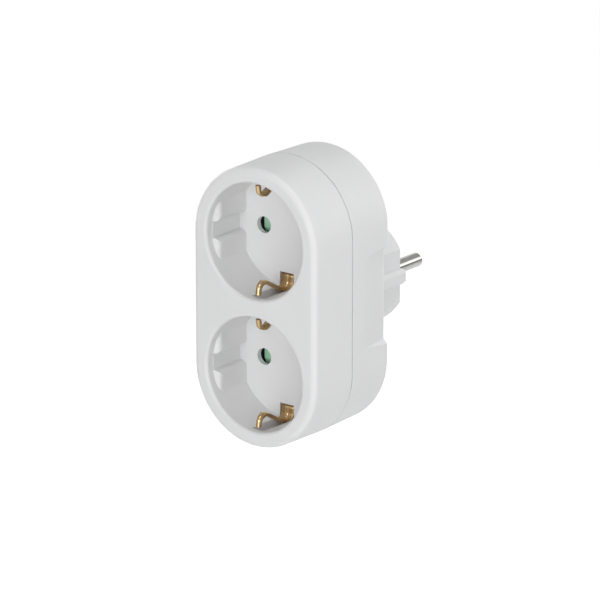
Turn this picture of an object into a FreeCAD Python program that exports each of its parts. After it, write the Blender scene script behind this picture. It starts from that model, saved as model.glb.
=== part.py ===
import FreeCAD, Part
import math
import os

import Sketcher

V = FreeCAD.Vector

# Two-way round-socket adapter. Millimetres, +Z up, the sockets face -Y, and the origin is the
# middle of the plug's pin-side face. "Depth" runs along Y, "rise" along Z, "reach" along X.

DRIVING = (
    ("side_rim", 5.85, "well to the casing's sides"),
    ("end_rim", 5.7, "well to the casing's top and bottom"),
    ("well_web", 6.2, "between the two wells"),
    ("front_depth", 20.0, "front face to the seam"),
    ("back_depth", 22.0, "seam to the back face"),
    ("plug_reach", 18.0, "back face to the plug's pin-side face"),
    ("shell_wall", 2.0, "casing wall"),
    ("bite", 1.0, "how far a form runs into, or past, what it meets"),
    ("front_round", 2.0, "rounding of the front edge"),
    ("back_round", 3.0, "rounding of the back edge"),
    ("front_taper", 0.4, "draft of the front shell, each side"),
    ("back_taper", 0.55, "draft of the back shell, each side"),
    ("seam_bevel", 0.15, "bevel each side of the seam"),
    ("seam_gap", 0.45, "open line between the two shells, before the tongue"),
    ("lap_thick", 1.0, "tongue of the seam's lap joint"),
    ("lap_depth", 1.3, "depth of the lap joint"),
    ("lap_gap", 0.1, "play in the lap joint"),
    ("well_radius", 19.9, "socket well"),
    ("well_depth", 17.9, "front face to the well floor"),
    ("well_wall", 1.4, "wall round a well"),
    ("floor_wall", 1.8, "well floor"),
    ("rim_round", 1.1, "rounding of a well's rim"),
    ("pad_rise", 2.86, "guide pad to the well's wall behind it"),
    ("pad_setback", 3.2, "rim to the front end of the guide pads"),
    ("pad_round", 1.9, "rounding of the guide pads' edges"),
    ("groove_half", 2.95, "half height of the groove between two pads"),
    ("pin_pitch", 19.0, "between the two pins"),
    ("pin_radius", 2.4, "plug pin"),
    ("pin_length", 19.0, "plug pin outside the plug"),
    ("pin_tip_round", 1.7, "rounding of the pin's end"),
    ("pin_play", 0.05, "radial play round the pin's shank"),
    ("shank_radius", 2.6, "pin where it passes the plug's face"),
    ("rod_radius", 2.2, "pin inside the plug"),
    ("tail_radius", 1.6, "pin's tail through its bar"),
    ("collar_radius", 3.6, "collar behind the plug's face"),
    ("collar_thick", 1.2, "collar along the pin"),
    ("hole_radius", 2.9, "pin hole in a well floor"),
    ("clip_strip", 0.8, "thickness of the earth strips"),
    ("clip_width", 5.1, "earth clip at the floor"),
    ("clip_nose", 2.6, "earth clip in front of its foot"),
    ("clip_top_in", 4.3, "well wall in to the clip where it leaves the floor"),
    ("clip_over", 0.5, "well wall out to the clip's outer bend"),
    ("clip_hump_in", 5.2, "well wall in to the corner of the clip's hump"),
    ("clip_tip_in", 1.1, "well wall in to the clip's front end"),
    ("clip_foot_sink", 0.7, "well floor to the middle of the clip's foot"),
    ("clip_hump_depth", 5.6, "front face to the clip's hump"),
    ("clip_knee_in", 3.8, "well wall in to the clip's knee, before its front end"),
    ("clip_knee_depth", 3.0, "front face to the clip's knee"),
    ("clip_tip_depth", 2.6, "front face to the clip's front end"),
    ("clip_bend", 2.6, "radius of the clip's outer bend"),
    ("clip_hump_bend", 2.4, "radius of the clip's hump"),
    ("clip_knee_bend", 2.0, "radius of the clip's knee"),
    ("clip_foot_bend", 0.7, "radius of the bends at the clip's foot"),
    ("clip_neck_rise", 4.4, "well floor to the back end of the clip's narrow part"),
    ("clip_shoulder", 1.6, "length over which the clip narrows"),
    ("clip_end_width", 1.7, "earth clip at its front end"),
    ("clip_bead", 0.72, "radius of the bead pressed along the clip"),
    ("clip_bead_in", 2.7, "well wall in to the end of the bead on the foot"),
    ("eye_radius", 5.0, "eye of the earth bridge round the post"),
    ("eye_play", 0.3, "eye of the earth bridge to the post"),
    ("clip_play", 0.35, "play round a clip in its slot"),
    ("channel_over", 2.3, "well wall out to the bottom of the clip channel"),
    ("channel_start", 2.8, "front face to the clip channel"),
    ("channel_wall", 0.8, "wall behind the clip channel"),
    ("channel_side", 1.2, "wall beside the clip channel"),
    ("post_radius", 3.0, "post that the shutter turns on"),
    ("post_gap", 0.5, "end of the post to the carrier's back face"),
    ("post_play", 0.1, "post in the carrier"),
    ("pilot_play", 0.05, "casing screw in the post"),
    ("pilot_depth", 5.4, "depth of the screw hole"),
    ("shutter_gap", 1.6, "back of the floor to the shutter"),
    ("shutter_thick", 1.5, "shutter"),
    ("shutter_play", 0.3, "shutter to the carrier"),
    ("shutter_bore_play", 0.05, "radial play of the shutter on its post"),
    ("hub_radius", 5.2, "hub of the shutter"),
    ("wing_reach", 12.0, "socket axis to the end of a shutter wing"),
    ("wing_half", 4.6, "half width of a shutter wing"),
    ("wing_ramp", 1.2, "ramp along a shutter wing, depth"),
    ("wing_ramp_width", 2.8, "ramp along a shutter wing, width"),
    ("lug_radius", 0.5, "lug that the spring pushes"),
    ("lug_reach", 4.75, "post axis to the lug"),
    ("lug_play", 0.05, "lug to the spring's leg"),
    ("lug_length", 1.5, "lug behind the shutter"),
    ("spring_radius", 3.9, "mean radius of the shutter spring"),
    ("spring_wire", 0.22, "radius of the spring wire"),
    ("spring_pitch", 0.5, "pitch of the spring"),
    ("spring_turns", 2.25, "turns of the spring"),
    ("spring_leg", 3.9, "straight legs of the spring"),
    ("spring_lead", 0.95, "shutter to the front turn of the spring"),
    ("carrier_thick", 3.0, "contact carrier plate"),
    ("carrier_room", 8.75, "rounded ends of the contact carrier to the casing's outside"),
    ("carrier_bore", 2.7, "pin hole in the carrier"),
    ("chamber_radius", 13.9, "inside of the ring round a shutter"),
    ("chamber_wall", 1.0, "ring round a shutter"),
    ("spring_room", 6.2, "radius of the carrier's recess for the spring"),
    ("spring_recess", 2.1, "depth of the carrier's recess for the spring"),
    ("stop_length", 0.9, "stop for the spring's fixed leg"),
    ("nest_wall", 1.0, "collar round a contact sleeve"),
    ("nest_length", 3.4, "collar round a contact sleeve, along Y"),
    ("nest_play", 0.3, "contact sleeve in its collar"),
    ("sleeve_wall", 0.5, "contact sleeve's strip"),
    ("sleeve_grip", 0.05, "contact sleeve's bore, smaller than a pin by this radius"),
    ("sleeve_slit", 1.2, "slit along a contact sleeve"),
    ("bar_thick", 0.8, "live and neutral bars"),
    ("bar_width", 7.0, "live and neutral bars"),
    ("bar_over", 4.0, "bar beyond a socket's axis"),
    ("bar_room", 3.6, "live and neutral bars to the casing's back wall"),
    ("head_over", 0.7, "riveted head of a pin beyond its rod"),
    ("head_thick", 0.7, "riveted head of a pin"),
    ("tower_radius", 3.9, "screw tower in the back shell"),
    ("screw_radius", 1.45, "casing screw"),
    ("screw_play", 0.35, "casing screw in the tower"),
    ("screw_head_radius", 2.7, "casing screw head"),
    ("screw_head_thick", 1.8, "casing screw head"),
    ("screw_head_play", 0.3, "screw head in its recess"),
    ("screw_sink", 8.0, "back face to the screw head's seat"),
    ("screw_end", 1.0, "screw's end to the bottom of its hole"),
    ("drive_span", 3.0, "cross recess in the screw head"),
    ("drive_width", 0.8, "cross recess in the screw head"),
    ("drive_depth", 1.0, "recess in the screw head"),
    ("plug_over", 9.0, "pin axis out to the round wall of the plug body"),
    ("plug_flat_over", 6.53, "pin axis out to the flat side of the plug body"),
    ("plug_face", 3.0, "wall behind the pins"),
    ("plug_wall", 4.3, "wall of the plug body"),
    ("plug_round", 0.8, "rounding of the plug's face"),
    ("rib_rise", 2.37, "side ribs of the plug over its flat sides"),
    ("rib_half", 2.6, "half height of the side ribs"),
    ("rib_bevel", 1.1, "bevel along the side ribs"),
    ("grip_start", 7.0, "seam to the start of the side grips"),
    ("grip_depth", 1.9, "side grip at the back face"),
    ("grip_half", 18.8, "half height of a side grip at the back face"),
    ("grip_in_round", 0.8, "radius from a side grip's floor into its ends"),
    ("grip_out_round", 3.4, "radius from a side grip's ends out to the casing's side"),
    ("strap_half", 3.0, "half width of the plug's earth strap"),
    ("strap_groove_depth", 2.6, "groove for the earth strap"),
    ("strap_sink", 1.6, "plug body's wall to the middle of the earth strap"),
    ("strap_back", 14.0, "plug face to the strap's cross piece"),
    ("strap_tip", 1.6, "plug face to the ends of the strap"),
    ("strap_play", 0.3, "play round the earth strap"),
    ("earth_offset", 10.0, "plug axis to the earth hole"),
    ("earth_hole_radius", 2.7, "earth hole in the plug's face"),
    ("link_half", 2.4, "half width of the earth link"),
    ("link_foot", 6.0, "each foot of the earth link"),
    ("link_bend", 1.2, "bend radius of the earth link"),
    ("link_rivet_in", 2.2, "end of the earth link's feet to their rivets"),
    ("earth_bar_half", 13.0, "half length of the earth bar"),
    ("rivet_radius", 0.9, "earth rivet"),
    ("rivet_head", 1.5, "earth rivet head"),
    ("rivet_head_thick", 0.5, "earth rivet head"),
    ("rivet_rise", 11.4, "earth rivets from the middle"),
    ("rivet_play", 0.05, "earth rivet in its hole"),
    ("rivet_sink_play", 0.2, "earth rivet head in its hollow in the front shell"),
)

WORKED_OUT = (
    ("front_y", "-(front_depth + back_depth + plug_reach)"),
    ("seam_y", "front_y + front_depth"),
    ("back_start", "seam_y + seam_gap"),
    ("back_length", "back_depth - seam_gap"),
    ("back_y", "-plug_reach"),
    ("well_rise", "well_radius + well_web / 2"),
    ("half_width", "well_radius + side_rim"),
    ("half_run", "well_rise + well_radius + end_rim - half_width"),
    ("inner_radius", "half_width - shell_wall"),
    ("front_hollow", "front_depth - shell_wall"),
    ("pad_flat", "well_radius - pad_rise"),
    ("floor_y", "front_y + well_depth"),
    ("floor_back", "floor_y + floor_wall"),
    ("tube_radius", "well_radius + well_wall"),
    ("tube_length", "well_depth + floor_wall - shell_wall + bite"),
    ("pin_reach", "pin_pitch / 2"),
    ("groove_reach", "sqrt(well_radius * well_radius - groove_half * groove_half)"),
    ("clip_top", "well_radius - clip_top_in"),
    ("clip_out", "well_radius + clip_over"),
    ("clip_in", "well_radius - clip_hump_in"),
    ("clip_knee", "well_radius - clip_knee_in"),
    ("clip_tip", "well_radius - clip_tip_in"),
    ("clip_bead_end", "well_radius - clip_bead_in"),
    ("channel_reach", "well_radius + channel_over"),
    ("clip_foot_depth", "well_depth + clip_foot_sink"),
    ("clip_neck_depth", "well_depth - clip_neck_rise"),
    ("clip_half", "clip_width / 2"),
    ("slot_half", "clip_half + clip_play"),
    ("slot_top", "clip_top - clip_strip / 2 - clip_play"),
    ("block_half", "slot_half + channel_side"),
    ("block_end", "well_rise + channel_reach + channel_wall"),
    ("block_start", "well_rise + well_radius - bite"),
    ("block_middle", "well_rise - well_radius + bite"),
    ("channel_length", "well_depth - channel_start"),
    ("slot_high_out", "well_rise + channel_reach"),
    ("slot_high_in", "well_rise + slot_top"),
    ("slot_low_in", "well_rise - slot_top"),
    ("slot_low_out", "well_rise - channel_reach"),
    ("slot_length", "floor_wall + channel_length"),
    ("groove_top", "well_rise + groove_half"),
    ("groove_bottom", "well_rise - groove_half"),
    ("shutter_y", "floor_back + shutter_gap"),
    ("shutter_back", "shutter_y + shutter_thick"),
    ("shutter_bore", "post_radius + shutter_bore_play"),
    ("carrier_radius", "half_width - carrier_room"),
    ("carrier_y", "shutter_back + shutter_play"),
    ("carrier_back", "carrier_y + carrier_thick"),
    ("post_y", "carrier_back - post_gap"),
    ("post_length", "post_y - floor_back"),
    ("post_bore", "post_radius + post_play"),
    ("chamber_out", "chamber_radius + chamber_wall"),
    ("chamber_length", "carrier_y - floor_back"),
    ("notch_depth", "2 * clip_strip + rivet_head_thick + clip_play"),
    ("notch_end", "well_rise + chamber_out + bite"),
    ("sleeve_bore", "pin_radius - sleeve_grip"),
    ("sleeve_radius", "sleeve_bore + sleeve_wall"),
    ("sleeve_slit_half", "sleeve_slit / 2"),
    ("sleeve_slit_end", "sleeve_radius + bite"),
    ("lug_across", "spring_radius - spring_wire - lug_radius - lug_play"),
    ("lug_up", "sqrt(lug_reach * lug_reach - lug_across * lug_across)"),
    ("stop_y", "carrier_y + spring_recess"),
    ("stop_high", "well_rise - lug_across"),
    ("stop_low", "-well_rise - lug_across"),
    ("link_slot_rise", "clip_strip / 2 + clip_play"),
    ("sleeve_y", "carrier_back"),
    ("nest_bore", "sleeve_radius + nest_play"),
    ("nest_radius", "nest_bore + nest_wall"),
    ("back_inner", "back_y - shell_wall"),
    ("bar_back", "back_inner - bar_room"),
    ("bar_y", "bar_back - bar_thick"),
    ("sleeve_length", "bar_y - sleeve_y"),
    ("bar_end", "well_rise + bar_over"),
    ("bar_half", "bar_width / 2"),
    ("bar_bore", "tail_radius + pin_play"),
    ("rod_length", "-plug_face - bar_back"),
    ("tail_length", "bar_thick + head_thick"),
    ("shank_bore", "shank_radius + pin_play"),
    ("collar_y", "-plug_face"),
    ("head_radius", "tail_radius + head_over"),
    ("back_hollow", "back_length - shell_wall"),
    ("lap_radius", "inner_radius + lap_thick"),
    ("tongue_radius", "lap_radius - lap_gap"),
    ("tongue_length", "seam_gap + lap_depth"),
    ("tower_y", "back_inner + bite"),
    ("tower_length", "tower_y - carrier_back"),
    ("screw_seat", "back_y - screw_sink"),
    ("screw_bore", "screw_radius + screw_play"),
    ("screw_recess", "screw_head_radius + screw_head_play"),
    ("screw_hole_length", "screw_seat - carrier_back"),
    ("pilot_radius", "screw_radius + pilot_play"),
    ("plug_radius", "pin_reach + plug_over"),
    ("plug_flat", "pin_reach + plug_flat_over"),
    ("plug_bore", "plug_radius - plug_wall"),
    ("strap_rise", "plug_radius - strap_sink"),
    ("rib_reach", "plug_flat + rib_rise"),
    ("plug_length", "plug_reach + bite"),
    ("plug_hollow", "-plug_face - back_inner"),
    ("rib_inner", "plug_flat - bite"),
    ("rib_shoulder", "rib_reach - rib_bevel"),
    ("rib_crest", "rib_half - rib_bevel"),
    ("grip_y", "seam_y + grip_start"),
    ("grip_length", "back_depth - grip_start"),
    ("grip_side", "half_width - back_taper"),
    ("grip_deep", "grip_side - grip_depth"),
    ("grip_outside", "half_width + bite"),
    ("grip_lean", "grip_depth + back_taper * grip_length / back_length"),
    ("grip_rounds", "grip_in_round + grip_out_round"),
    ("grip_cosine", "1 - grip_depth / grip_rounds"),
    ("grip_run", "grip_rounds * sqrt(1 - grip_cosine * grip_cosine)"),
    ("grip_floor_half", "grip_half - grip_run"),
    ("lining_in", "grip_deep - shell_wall"),
    ("lining_out", "inner_radius + bite / 2"),
    ("lining_half", "grip_half + shell_wall"),
    ("lining_y", "back_inner + bite"),
    ("lining_length", "lining_y - grip_y"),
    ("strap_groove_in", "plug_radius - strap_groove_depth"),
    ("strap_groove_half", "strap_half + strap_play"),
    ("strap_groove_out", "plug_radius + bite"),
    ("strap_slot_in", "plug_bore - bite"),
    ("strap_slot_out", "strap_groove_in + bite"),
    ("earth_sleeve_y", "-strap_back"),
    ("earth_sleeve_length", "strap_back - plug_face"),
    ("strap_slot_y", "-strap_back - clip_strip - strap_play"),
    ("strap_slot_length", "clip_strip + 2 * strap_play"),
    ("strap_groove_length", "strap_back + clip_strip + strap_play"),
    ("link_slot_half", "link_half + clip_play"),
    ("earth_bar_y", "floor_back + clip_strip"),
    ("rivet_sink", "rivet_head + rivet_sink_play"),
    ("rivet_sink_depth", "rivet_head_thick + rivet_sink_play"),
    ("rivet_bore", "rivet_radius + rivet_play"),
    ("rivet_grip", "2 * clip_strip"),
    ("link_rivet_rise", "link_foot - link_rivet_in"),
    ("strap_front", "-strap_back - clip_strip"),
    ("link_back", "strap_front - clip_strip"),
    ("bridge_rivet_front", "floor_back - rivet_head_thick"),
    ("bridge_rivet_back", "floor_back + rivet_grip"),
    ("bar_rivet_front", "earth_bar_y - rivet_head_thick"),
    ("bar_rivet_back", "earth_bar_y + rivet_grip"),
    ("strap_rivet_front", "link_back - rivet_head_thick"),
    ("strap_rivet_back", "link_back + rivet_grip"),
    ("screw_tip", "post_y - pilot_depth + screw_end"),
    ("screw_shaft_length", "screw_seat - screw_tip"),
    ("drive_y", "screw_seat + screw_head_thick - drive_depth"),
)

doc = FreeCAD.newDocument("SocketAdapter")
sheet = doc.addObject("Spreadsheet::Sheet", "Sizes")
for row, (alias, size, note) in enumerate(DRIVING, 1):
    sheet.set(f"A{row}", note)
    sheet.set(f"B{row}", str(size))
    sheet.setAlias(f"B{row}", alias)
for row, (alias, formula) in enumerate(WORKED_OUT, len(DRIVING) + 1):
    sheet.set(f"B{row}", "=" + formula)
    sheet.setAlias(f"B{row}", alias)
doc.recompute()


# A term is the name of a cell, with a minus sign where it is taken the other way, or "0".
def num(term):
    if term == "0":
        return 0.0
    if term.startswith("-"):
        return -num(term[1:])
    return float(sheet.get(term))


def bound(term):
    if term.startswith("-"):
        return "-Sizes." + term[1:]
    return "Sizes." + term


def negated(term):
    if term == "0":
        return term
    return term[1:] if term.startswith("-") else "-" + term


# Sketches lie across the depth, on a plane at a stated Y, drawn with X across and Z up.
def originPlane(body, role):
    return [f for f in body.Origin.OriginFeatures if f.Role == role][0]


def newBody(label):
    body = doc.addObject("PartDesign::Body", label)
    body.Label = label
    return body


def sketchAt(body, name, plane):
    sketch = body.newObject("Sketcher::SketchObject", name)
    sketch.AttachmentSupport = (originPlane(body, "XZ_Plane"), [""])
    sketch.MapMode = "FlatFace"
    if plane != "0":
        sketch.setExpression("AttachmentOffset.Base.z", bound(negated(plane)))
    return sketch


def dimension(sketch, constraint, term):
    index = sketch.addConstraint(constraint)
    sketch.setExpression(f"Constraints[{index}]", bound(term))


def holdPoint(sketch, geo, point, where):
    for axis, kind, term in ((-2, "DistanceX", where[0]), (-1, "DistanceY", where[1])):
        if term == "0":
            sketch.addConstraint(Sketcher.Constraint("PointOnObject", geo, point, axis))
        else:
            dimension(sketch, Sketcher.Constraint(kind, -1, 1, geo, point, num(term)), term)


def drawPolygon(sketch, corners):
    first = sketch.GeometryCount
    ends = corners[1:] + corners[:1]
    for (x0, z0), (x1, z1) in zip(corners, ends):
        line = Part.LineSegment(V(num(x0), num(z0), 0), V(num(x1), num(z1), 0))
        sketch.addGeometry(line, False)
    count = len(corners)
    for i, corner in enumerate(corners):
        joint = Sketcher.Constraint("Coincident", first + i, 2, first + (i + 1) % count, 1)
        sketch.addConstraint(joint)
        holdPoint(sketch, first + i, 1, corner)


def drawBlock(sketch, xLow, xHigh, zLow, zHigh):
    drawPolygon(sketch, [(xLow, zLow), (xHigh, zLow), (xHigh, zHigh), (xLow, zHigh)])


def drawCircle(sketch, where, radius):
    centre = V(num(where[0]), num(where[1]), 0)
    geo = sketch.addGeometry(Part.Circle(centre, V(0, 0, 1), num(radius)), False)
    holdPoint(sketch, geo, 3, where)
    dimension(sketch, Sketcher.Constraint("Radius", geo, num(radius)), radius)


def drawArc(sketch, centre, radius, start, end):
    circle = Part.Circle(centre, V(0, 0, 1), radius)
    return sketch.addGeometry(Part.ArcOfCircle(circle, start, end), False)


# An upright slot form: two half circles and two straight sides.
def drawStadium(sketch, radius, run):
    r = num(radius)
    rise = num(run)
    top = drawArc(sketch, V(0, rise, 0), r, 0, math.pi)
    bottom = drawArc(sketch, V(0, -rise, 0), r, math.pi, 2 * math.pi)
    left = sketch.addGeometry(Part.LineSegment(V(-r, rise, 0), V(-r, -rise, 0)), False)
    right = sketch.addGeometry(Part.LineSegment(V(r, -rise, 0), V(r, rise, 0)), False)
    for a, pa, b, pb in ((top, 2, left, 1), (left, 2, bottom, 1), (bottom, 2, right, 1), (right, 2, top, 1)):
        sketch.addConstraint(Sketcher.Constraint("Tangent", a, pa, b, pb))
    sketch.addConstraint(Sketcher.Constraint("PointOnObject", top, 3, -2))
    sketch.addConstraint(Sketcher.Constraint("PointOnObject", bottom, 3, -2))
    dimension(sketch, Sketcher.Constraint("Radius", top, r), radius)
    dimension(sketch, Sketcher.Constraint("DistanceY", -1, 1, top, 3, rise), run)
    dimension(sketch, Sketcher.Constraint("DistanceY", -1, 1, bottom, 3, -rise), negated(run))


# A circle with its left and right sides cut off flat.
def drawBarrel(sketch, rise, radius, flat):
    r = num(radius)
    side = num(flat)
    middle = V(0, num(rise), 0)
    lean = math.acos(side / r)
    corner = r * math.sin(lean)
    top = drawArc(sketch, middle, r, lean, math.pi - lean)
    bottom = drawArc(sketch, middle, r, math.pi + lean, 2 * math.pi - lean)
    left = sketch.addGeometry(
        Part.LineSegment(middle + V(-side, corner, 0), middle + V(-side, -corner, 0)), False)
    right = sketch.addGeometry(
        Part.LineSegment(middle + V(side, -corner, 0), middle + V(side, corner, 0)), False)
    for a, pa, b, pb in ((top, 2, left, 1), (left, 2, bottom, 1), (bottom, 2, right, 1), (right, 2, top, 1)):
        sketch.addConstraint(Sketcher.Constraint("Coincident", a, pa, b, pb))
    sketch.addConstraint(Sketcher.Constraint("Vertical", left))
    sketch.addConstraint(Sketcher.Constraint("Vertical", right))
    sketch.addConstraint(Sketcher.Constraint("Coincident", top, 3, bottom, 3))
    holdPoint(sketch, top, 3, ("0", rise))
    for arc in (top, bottom):
        dimension(sketch, Sketcher.Constraint("Radius", arc, r), radius)
    dimension(sketch, Sketcher.Constraint("DistanceX", -1, 1, left, 1, -side), negated(flat))
    dimension(sketch, Sketcher.Constraint("DistanceX", -1, 1, right, 1, side), flat)


# The section of a side grip: a flat floor, and at each end two tangent arcs out to the casing's side.
def drawScoop(sketch, mirrored):
    side = num("grip_side")
    floor = num("grip_deep")
    inner = num("grip_in_round")
    outer = num("grip_out_round")
    turn = math.acos(num("grip_cosine"))
    high = num("grip_half")
    low = num("grip_floor_half")
    out = num("grip_outside")
    sign = -1 if mirrored else 1

    def arc(x, z, r, start, end):
        if mirrored:
            x, start, end = -x, math.pi - end, math.pi - start
        return drawArc(sketch, V(x, z, 0), r, start, end)

    def line(x0, z0, x1, z1):
        return sketch.addGeometry(Part.LineSegment(V(sign * x0, z0, 0), V(sign * x1, z1, 0)), False)

    first, second = (1, 2) if mirrored else (2, 1)
    edges = [(line(floor, -low, floor, low), 1, 2),
             (arc(floor + inner, low, inner, math.pi - turn, math.pi), first, second),
             (arc(side - outer, high, outer, -turn, 0), second, first),
             (line(side, high, out, high), 1, 2),
             (line(out, high, out, -high), 1, 2),
             (line(out, -high, side, -high), 1, 2),
             (arc(side - outer, -high, outer, 0, turn), second, first),
             (arc(floor + inner, -low, inner, math.pi, math.pi + turn), first, second)]
    for i, (geo, _, end) in enumerate(edges):
        after, start, _ = edges[(i + 1) % len(edges)]
        smooth = i in (0, 1, 6, 7)
        kind = "Tangent" if smooth else "Coincident"
        sketch.addConstraint(Sketcher.Constraint(kind, geo, end, after, start))
    return edges


# Each feature runs towards the back (+Y) unless it is told to run forward.
def grow(body, name, sketch, length, forward=False):
    feature = body.newObject("PartDesign::Pad", name)
    feature.Profile = sketch
    feature.setExpression("Length", bound(length))
    feature.Reversed = not forward
    doc.recompute()
    return feature


def cut(body, name, sketch, length, forward=False):
    before = body.Shape.Volume
    feature = body.newObject("PartDesign::Pocket", name)
    feature.Profile = sketch
    feature.setExpression("Length", bound(length))
    feature.Reversed = forward
    doc.recompute()
    if body.Shape.Volume >= before:
        raise RuntimeError(name + " cuts nothing")
    return feature


# A reversed cut runs against its direction, so this one is given from its far end back to its sketch.
def leanForward(feature, outwards):
    feature.UseCustomVector = True
    feature.AlongSketchNormal = True
    feature.setExpression("Direction.x", "-(" + outwards + ")")
    feature.setExpression("Direction.y", "Sizes.grip_length")
    feature.setExpression("Direction.z", "0")
    doc.recompute()


def edgesWhere(feature, test):
    return [f"Edge{i}" for i, edge in enumerate(feature.Shape.Edges, 1) if test(edge)]


def dress(body, name, kind, test, prop, size):
    base = body.Tip
    names = edgesWhere(base, test)
    if not names:
        raise RuntimeError(name + " finds no edge")
    feature = body.newObject(kind, name)
    feature.Base = (base, names)
    feature.setExpression(prop, bound(size))
    doc.recompute()
    return feature


def rounded(body, name, test, size):
    return dress(body, name, "PartDesign::Fillet", test, "Radius", size)


def bevelled(body, name, test, size):
    return dress(body, name, "PartDesign::Chamfer", test, "Size", size)


def near(a, b, slack=0.01):
    return abs(a - b) < slack


# True for an edge that lies in the plane at this depth.
def inPlane(edge, depth):
    box = edge.BoundBox
    return near(box.YMin, depth) and near(box.YMax, depth)


parts = {}


def keep(obj):
    parts[obj.Label] = obj
    return obj


EVERY_SOCKET = (("upper", "well_rise"), ("lower", "-well_rise"))
EVERY_SIDE = (("left", "-pin_reach"), ("right", "pin_reach"))


# Front shell: a stadium tray with both socket wells moulded in.
def makeFrontShell():
    body = newBody("front_shell")
    run = num("half_run")

    outline = sketchAt(body, "front_outline", "seam_y")
    drawStadium(outline, "half_width", "half_run")
    block = grow(body, "front_block", outline, "front_depth", forward=True)
    block.setExpression("TaperAngle", "-atan(Sizes.front_taper / Sizes.front_depth)")
    doc.recompute()
    rounded(body, "front_edge", lambda e: inPlane(e, num("front_y")), "front_round")
    bevelled(body, "front_seam", lambda e: inPlane(e, num("seam_y")), "seam_bevel")

    inside = sketchAt(body, "front_inside", "seam_y")
    drawStadium(inside, "inner_radius", "half_run")
    cut(body, "front_cavity", inside, "front_hollow", forward=True)
    lap = sketchAt(body, "front_lap", "seam_y")
    drawStadium(lap, "lap_radius", "half_run")
    cut(body, "front_rebate", lap, "lap_depth", forward=True)

    tubes = sketchAt(body, "well_tubes", "floor_back")
    for _, rise in EVERY_SOCKET:
        drawCircle(tubes, ("0", rise), "tube_radius")
    grow(body, "well_walls", tubes, "tube_length", forward=True)
    for name, low, high in (("top", "block_start", "block_end"),
                            ("middle", "-block_middle", "block_middle"),
                            ("bottom", "-block_end", "-block_start")):
        block = sketchAt(body, f"clip_block_{name}_form", "floor_back")
        drawBlock(block, "-block_half", "block_half", low, high)
        grow(body, f"clip_block_{name}", block, "tube_length", forward=True)

    mouths = sketchAt(body, "well_mouths", "front_y")
    for _, rise in EVERY_SOCKET:
        drawCircle(mouths, ("0", rise), "well_radius")
    cut(body, "well_mouth_cut", mouths, "pad_setback")
    wells = sketchAt(body, "well_forms", "front_y")
    for _, rise in EVERY_SOCKET:
        drawBarrel(wells, rise, "well_radius", "pad_flat")
    cut(body, "well_cut", wells, "well_depth")
    for name, low, high in (("upper", "groove_bottom", "groove_top"), ("lower", "-groove_top", "-groove_bottom")):
        groove = sketchAt(body, f"groove_{name}_form", "front_y")
        drawBlock(groove, "-groove_reach", "groove_reach", low, high)
        cut(body, f"groove_{name}", groove, "well_depth")

    def onPad(edge):
        if not all(near(abs(v.X), num("pad_flat")) for v in edge.Vertexes):
            return False
        middle = edge.CenterOfMass
        across = near(abs(abs(middle.z) - num("well_rise")), num("groove_half"))
        ahead = inPlane(edge, num("front_y") + num("pad_setback"))
        return near(abs(middle.x), num("pad_flat")) and (across or ahead)

    rounded(body, "pad_edges", onPad, "pad_round")
    for name, low, high in (("top", "slot_high_in", "slot_high_out"),
                            ("upper_middle", "slot_low_out", "slot_low_in"),
                            ("lower_middle", "-slot_low_in", "-slot_low_out"),
                            ("bottom", "-slot_high_out", "-slot_high_in")):
        slot = sketchAt(body, f"clip_slot_{name}_form", "floor_back")
        drawBlock(slot, "-slot_half", "slot_half", low, high)
        cut(body, f"clip_slot_{name}", slot, "slot_length", forward=True)

    holes = sketchAt(body, "pin_holes", "floor_back")
    for _, rise in EVERY_SOCKET:
        for _, reach in EVERY_SIDE:
            drawCircle(holes, (reach, rise), "hole_radius")
    cut(body, "pin_hole_cut", holes, "floor_wall", forward=True)

    posts = sketchAt(body, "posts", "floor_back")
    for _, rise in EVERY_SOCKET:
        drawCircle(posts, ("0", rise), "post_radius")
    grow(body, "post_grow", posts, "post_length")
    pilots = sketchAt(body, "pilots", "post_y")
    for _, rise in EVERY_SOCKET:
        drawCircle(pilots, ("0", rise), "pilot_radius")
    cut(body, "pilot_cut", pilots, "pilot_depth", forward=True)

    sinks = sketchAt(body, "rivet_sinks", "floor_back")
    for rise in ("rivet_rise", "-rivet_rise"):
        drawCircle(sinks, ("0", rise), "rivet_sink")
    cut(body, "rivet_sink_cut", sinks, "rivet_sink_depth", forward=True)

    rise = num("well_rise")
    radius = num("well_radius")

    def onRim(edge):
        spots = edge.discretize(5)
        return inPlane(edge, num("front_y")) and all(
            near(math.hypot(p.x, abs(p.z) - rise), radius) for p in spots)

    rounded(body, "well_rim", onRim, "rim_round")
    return keep(body)


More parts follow.
